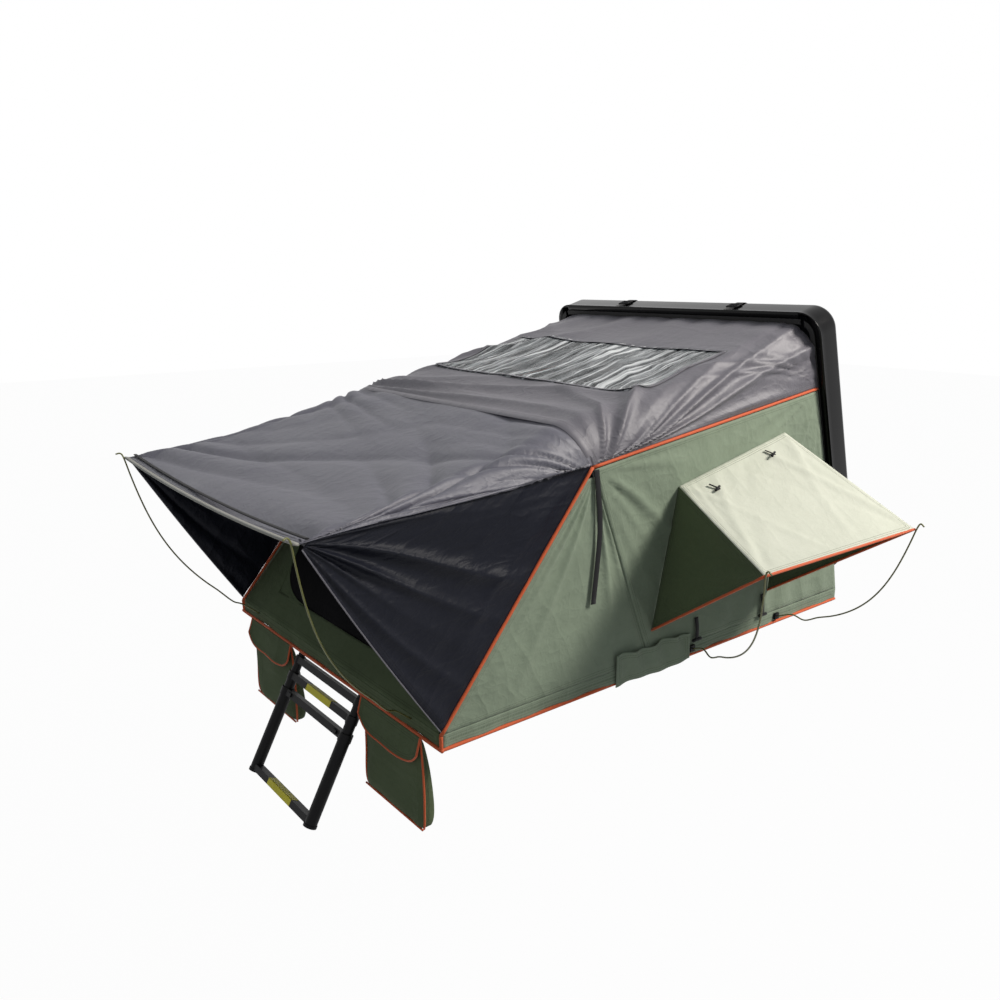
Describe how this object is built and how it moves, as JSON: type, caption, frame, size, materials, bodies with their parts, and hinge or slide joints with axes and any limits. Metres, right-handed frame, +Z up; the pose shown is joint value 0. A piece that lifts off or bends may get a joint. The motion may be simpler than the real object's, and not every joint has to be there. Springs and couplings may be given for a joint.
{
  "type": "roof top tent",
  "caption": "Hard-shell roof top tent standing open, with fold-out floor panel, sprung awning and window hoods, gas-strut lid, shoe bags and a telescopic ladder",
  "frame": {"origin": "centre of the four roof rack bolt holes, on the underside of the mounting rails", "axes": "+X to the right seen from the door end, -Y towards the door and ladder, +Z up"},
  "size_m": [2.4596, 2.5976, 1.6883],
  "materials": {
    "alloy": "satin anodised",
    "board": "laminated floor board",
    "steel": "plain",
    "shell": "gloss black",
    "rubber": "matt",
    "webbing": "woven webbing",
    "trim": "matt black",
    "mattress": "woven cover",
    "green": "coated canvas",
    "fly": "coated fly sheet",
    "navy": "coated fly sheet",
    "piping": "corded piping",
    "hem": "webbing hem",
    "mesh": "insect mesh",
    "film": "clear film",
    "rod": "spring steel, dark coating",
    "ladder": "black anodised",
    "strut_black": "black",
    "chrome": "polished"
  },
  "bodies": {
    "base": {"mounting_rails": "alloy", "rail_bolts": "steel", "base_panel": "board", "base_frame": "alloy", "base_keder_rails": "trim", "mattress_rear": "mattress", "lid_hinge_base_leaves": "steel", "lid_hinge_pins": "steel", "fold_hinge_base_plates": "steel", "fold_hinge_pins": "steel", "strut_base_brackets": "steel", "hood_rod_sockets": "trim", "hood_rods_left": "rod", "hood_rods_right": "rod", "hinge_flaps": "green"},
    "lid": {"lid_shell": "shell", "lid_seal": "rubber", "lid_liner": "mattress", "lid_hinge_lid_leaves": "steel", "strut_lid_brackets": "steel", "closing_straps": "webbing", "side_wall_rear_left": "green", "side_wall_rear_right": "green", "roof_rear": "fly", "skylight": "film", "piping_rear": "piping", "window_meshes": "mesh"},
    "hood_left": {"hood_left": "green"},
    "hood_right": {"hood_right": "green"},
    "strut_tube_left": {"strut_tube_left": "strut_black"},
    "strut_tube_right": {"strut_tube_right": "strut_black"},
    "strut_rod_left": {"strut_rod_left": "chrome"},
    "strut_rod_right": {"strut_rod_right": "chrome"},
    "panel": {"fold_panel": "board", "panel_frame": "alloy", "panel_keder_rails": "trim", "fold_hinge_panel_plates": "steel", "mattress_front": "mattress", "bow_brackets": "steel", "bow_pins": "steel", "awning_rods": "rod", "shoe_bag_left": "green", "shoe_bag_right": "green", "ladder_bracket": "steel"},
    "bow": {"main_bow": "alloy", "side_wall_front_left": "green", "side_wall_front_right": "green", "piping_front": "piping", "front_wall": "green", "door_mesh": "mesh", "awning_roof": "fly", "awning_wing_left": "navy", "awning_wing_right": "navy", "awning_hem": "hem"},
    "ladder_head": {"ladder_head": "ladder"},
    "ladder_2": {"ladder_section_2": "ladder"},
    "ladder_3": {"ladder_section_3": "ladder"},
    "ladder_4": {"ladder_section_4": "ladder"},
    "button_left": {"ladder_button_left": "trim"},
    "button_right": {"ladder_button_right": "trim"}
  },
  "joints": [
    {"name": "lid_hinge", "type": "hinge", "parent": "base", "child": "lid", "pos_m": [0, 0.563, 0.13], "axis": [1, 0, 0], "range_deg": [0, 73], "deforming": ["side_wall_rear_left", "side_wall_rear_right", "roof_rear", "skylight", "piping_rear", "window_meshes", "hood_left", "hood_right", "hood_rods_left", "hood_rods_right"]},
    {"name": "panel_fold", "type": "hinge", "parent": "base", "child": "panel", "pos_m": [0, -0.56, 0.115], "axis": [-1, 0, 0], "range_deg": [0, 180], "deforming": ["side_wall_front_left", "side_wall_front_right", "piping_front", "front_wall", "door_mesh", "awning_roof", "awning_wing_left", "awning_wing_right", "awning_hem", "awning_rods", "shoe_bag_left", "shoe_bag_right", "hinge_flaps"]},
    {"name": "bow_fold", "type": "hinge", "parent": "panel", "child": "bow", "pos_m": [0, -0.64, 0.115], "axis": [1, 0, 0], "range_deg": [0, 68.4]},
    {"name": "ladder_swing", "type": "hinge", "parent": "panel", "child": "ladder_head", "pos_m": [0, -1.47, 0.01], "axis": [1, 0, 0], "range_deg": [0, 117.9]},
    {"name": "ladder_extend", "type": "slide", "parent": "ladder_head", "child": "ladder_2", "axis": [0, 0.4664, 0.8846], "range_m": [-0.2, 0]},
    {"name": "ladder_extend_3", "type": "slide", "parent": "ladder_2", "child": "ladder_3", "axis": [0, 0.4664, 0.8846], "range_m": [-0.2, 0]},
    {"name": "ladder_extend_4", "type": "slide", "parent": "ladder_3", "child": "ladder_4", "axis": [0, 0.4664, 0.8846], "range_m": [-0.2, 0]},
    {"name": "button_slide_left", "type": "slide", "parent": "ladder_4", "child": "button_left", "axis": [1, 0, 0], "range_m": [0, 0.008], "stiffness_N_per_m": 200},
    {"name": "button_slide_right", "type": "slide", "parent": "ladder_4", "child": "button_right", "axis": [-1, 0, 0], "range_m": [0, 0.008], "stiffness_N_per_m": 200},
    {"name": "strut_pivot_left", "type": "hinge", "parent": "base", "child": "strut_tube_left", "pos_m": [-0.655, 0.475, 0.18], "axis": [1, 0, 0], "range_deg": [0, 99.48]},
    {"name": "strut_slide_left", "type": "slide", "parent": "strut_tube_left", "child": "strut_rod_left", "axis": [0, 0.3815, 0.9244], "range_m": [-0.06806, 0]},
    {"name": "hood_fold_left", "type": "hinge", "parent": "base", "child": "hood_left", "pos_m": [-0.7128, -0.195, 0.7225], "axis": [0, -0.979, -0.204], "range_deg": [0, 67.8]},
    {"name": "strut_pivot_right", "type": "hinge", "parent": "base", "child": "strut_tube_right", "pos_m": [0.655, 0.475, 0.18], "axis": [1, 0, 0], "range_deg": [0, 99.48]},
    {"name": "strut_slide_right", "type": "slide", "parent": "strut_tube_right", "child": "strut_rod_right", "axis": [0, 0.3815, 0.9244], "range_m": [-0.06806, 0]},
    {"name": "hood_fold_right", "type": "hinge", "parent": "base", "child": "hood_right", "pos_m": [0.7128, -0.195, 0.7225], "axis": [0, 0.979, 0.204], "range_deg": [0, 67.8]}
  ],
  "couplings": [
    {"joint": "bow_fold", "follows": "panel_fold", "ratio": 0.37944},
    {"joint": "ladder_swing", "follows": "panel_fold", "ratio": 0.65444},
    {"joint": "ladder_extend_3", "follows": "ladder_extend", "ratio": 1},
    {"joint": "ladder_extend_4", "follows": "ladder_extend", "ratio": 1},
    {"joint": "strut_pivot_left", "follows": "lid_hinge", "ratio": 1.3621},
    {"joint": "strut_slide_left", "follows": "lid_hinge", "m_per_rad": -0.05302},
    {"joint": "hood_fold_left", "follows": "lid_hinge", "ratio": 0.9274},
    {"joint": "strut_pivot_right", "follows": "lid_hinge", "ratio": 1.3621},
    {"joint": "strut_slide_right", "follows": "lid_hinge", "m_per_rad": -0.05302},
    {"joint": "hood_fold_right", "follows": "lid_hinge", "ratio": 0.9274}
  ]
}
